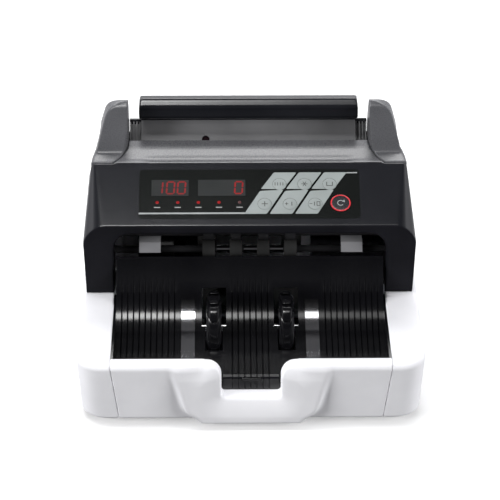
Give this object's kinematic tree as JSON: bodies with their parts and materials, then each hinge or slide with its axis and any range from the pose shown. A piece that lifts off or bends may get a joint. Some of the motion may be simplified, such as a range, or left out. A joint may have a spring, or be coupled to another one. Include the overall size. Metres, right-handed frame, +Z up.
{
  "type": "banknote counting machine",
  "caption": "Desktop banknote counter: white base, black hood with a sloping control panel, rear hopper between two ears, stacker wheels in a ribbed tray, folding handle.",
  "frame": {"origin": "centre of the machine's outline on the table, at the feet's lower face", "axes": "+X to the operator's right, +Y from the operator to the back, +Z up"},
  "size_m": [0.284, 0.256, 0.1885],
  "materials": {
    "white_shell": "fine satin moulded white",
    "black_shell": "satin moulded black with a slight sheen",
    "black_gloss": "glossy black",
    "grey_plate": "satin dark grey",
    "overlay_film": "printed film",
    "key_grey": "pale grey-green domes",
    "reset_black": "black dome with a red ring",
    "polished_steel": "polished",
    "zinc_steel": "zinc plated",
    "roller_rubber": "black rubber",
    "pulley_plastic": "ivory acetal",
    "lens": "smoked lens",
    "lamp_glass": "violet-black lamp tube",
    "head_metal": "plain",
    "circuit": "black solder mask",
    "transformer_metal": "varnished core and coil",
    "black_fitting": "moulded black"
  },
  "bodies": {
    "chassis": {"front_cover": "white_shell", "left_side_cover": "white_shell", "right_side_cover": "white_shell", "rear_cover": "white_shell", "hood": "black_shell", "left_ear": "black_shell", "right_ear": "black_shell", "upper_rear_cover": "black_shell", "stacker_plate": "black_gloss", "feed_plate": "grey_plate", "hopper_channels": "grey_plate", "throat_guide": "grey_plate", "control_overlay": "overlay_film", "led_displays": "overlay_film", "guide_strips": "polished_steel", "exit_springs": "polished_steel", "base_plate": "zinc_steel", "left_frame": "zinc_steel", "right_frame": "zinc_steel", "tie_rods": "zinc_steel", "bearings": "zinc_steel", "cover_screws": "zinc_steel", "feed_motor": "zinc_steel", "retard_blocks": "roller_rubber", "feet": "roller_rubber", "drive_belts": "roller_rubber", "sensor_lenses": "lens", "uv_lamp": "lamp_glass", "magnetic_head": "head_metal", "circuit_boards": "circuit", "transformer": "transformer_metal", "power_inlet": "black_fitting", "switch_housing": "black_fitting"},
    "stacker_rotor": {"stacker_shaft": "polished_steel", "impeller_wheels": "black_gloss", "stacker_pulley": "pulley_plastic"},
    "feed_rotor": {"feed_shaft": "polished_steel", "feed_rollers": "roller_rubber", "feed_pulleys": "pulley_plastic"},
    "pickup_rotor": {"pickup_shaft": "polished_steel", "pickup_rollers": "roller_rubber", "pickup_pulley": "pulley_plastic"},
    "exit_rotor": {"exit_shaft": "polished_steel", "exit_rollers": "roller_rubber", "exit_pulley": "pulley_plastic"},
    "pinch_rotor": {"pinch_shaft": "polished_steel", "pinch_rollers": "black_fitting"},
    "motor_rotor": {"motor_spindle": "polished_steel", "motor_pulleys": "pulley_plastic"},
    "handle": {"handle_grip": "black_shell", "handle_arms": "black_shell"},
    "switch_key": {"switch_rocker": "black_fitting"},
    "knob": {"gap_knob": "black_fitting"},
    "reset_button": {"reset_key": "reset_black"},
    "button_1": {"key_1": "key_grey"},
    "button_2": {"key_2": "key_grey"},
    "button_3": {"key_3": "key_grey"},
    "button_4": {"key_4": "key_grey"},
    "button_5": {"key_5": "key_grey"},
    "button_6": {"key_6": "key_grey"}
  },
  "joints": [
    {"name": "feed_spin", "type": "hinge", "parent": "chassis", "child": "feed_rotor", "pos_m": [0, 0.044, 0.092], "axis": [1, 0, 0], "continuous": true},
    {"name": "pickup_spin", "type": "hinge", "parent": "chassis", "child": "pickup_rotor", "pos_m": [0, 0.098, 0.1188], "axis": [1, 0, 0], "continuous": true},
    {"name": "exit_spin", "type": "hinge", "parent": "chassis", "child": "exit_rotor", "pos_m": [0, 0.012, 0.09], "axis": [1, 0, 0], "continuous": true},
    {"name": "pinch_spin", "type": "hinge", "parent": "chassis", "child": "pinch_rotor", "pos_m": [0, 0.014, 0.10435], "axis": [1, 0, 0], "continuous": true},
    {"name": "stacker_spin", "type": "hinge", "parent": "chassis", "child": "stacker_rotor", "pos_m": [0, -0.037, 0.042], "axis": [1, 0, 0], "continuous": true},
    {"name": "motor_spin", "type": "hinge", "parent": "chassis", "child": "motor_rotor", "pos_m": [0, 0.07, 0.045], "axis": [1, 0, 0], "continuous": true},
    {"name": "handle_fold", "type": "hinge", "parent": "chassis", "child": "handle", "pos_m": [0, 0.1242, 0.118], "axis": [-1, 0, 0], "range_deg": [0, 95]},
    {"name": "switch_rock", "type": "hinge", "parent": "chassis", "child": "switch_key", "pos_m": [-0.046, 0.1225, 0.031], "axis": [0, 0, 1], "range_deg": [-8, 8]},
    {"name": "knob_turn", "type": "hinge", "parent": "chassis", "child": "knob", "pos_m": [0, 0.1205, 0.138], "axis": [0, 1, 0], "range_deg": [-180, 180]},
    {"name": "reset_press", "type": "slide", "parent": "chassis", "child": "reset_button", "axis": [0, 0.4344, -0.9007], "range_m": [0, 0.0004], "stiffness_N_per_m": 600},
    {"name": "key_1_press", "type": "slide", "parent": "chassis", "child": "button_1", "axis": [0, 0.4344, -0.9007], "range_m": [0, 0.0004], "stiffness_N_per_m": 600},
    {"name": "key_2_press", "type": "slide", "parent": "chassis", "child": "button_2", "axis": [0, 0.4344, -0.9007], "range_m": [0, 0.0004], "stiffness_N_per_m": 600},
    {"name": "key_3_press", "type": "slide", "parent": "chassis", "child": "button_3", "axis": [0, 0.4344, -0.9007], "range_m": [0, 0.0004], "stiffness_N_per_m": 600},
    {"name": "key_4_press", "type": "slide", "parent": "chassis", "child": "button_4", "axis": [0, 0.4344, -0.9007], "range_m": [0, 0.0004], "stiffness_N_per_m": 600},
    {"name": "key_5_press", "type": "slide", "parent": "chassis", "child": "button_5", "axis": [0, 0.4344, -0.9007], "range_m": [0, 0.0004], "stiffness_N_per_m": 600},
    {"name": "key_6_press", "type": "slide", "parent": "chassis", "child": "button_6", "axis": [0, 0.4344, -0.9007], "range_m": [0, 0.0004], "stiffness_N_per_m": 600}
  ],
  "couplings": [
    {"joint": "pickup_spin", "follows": "feed_spin", "ratio": 1},
    {"joint": "exit_spin", "follows": "feed_spin", "ratio": 2.2857},
    {"joint": "pinch_spin", "follows": "feed_spin", "ratio": -3.0476},
    {"joint": "motor_spin", "follows": "feed_spin", "ratio": 1.75},
    {"joint": "stacker_spin", "follows": "feed_spin", "ratio": 0.97222}
  ]
}
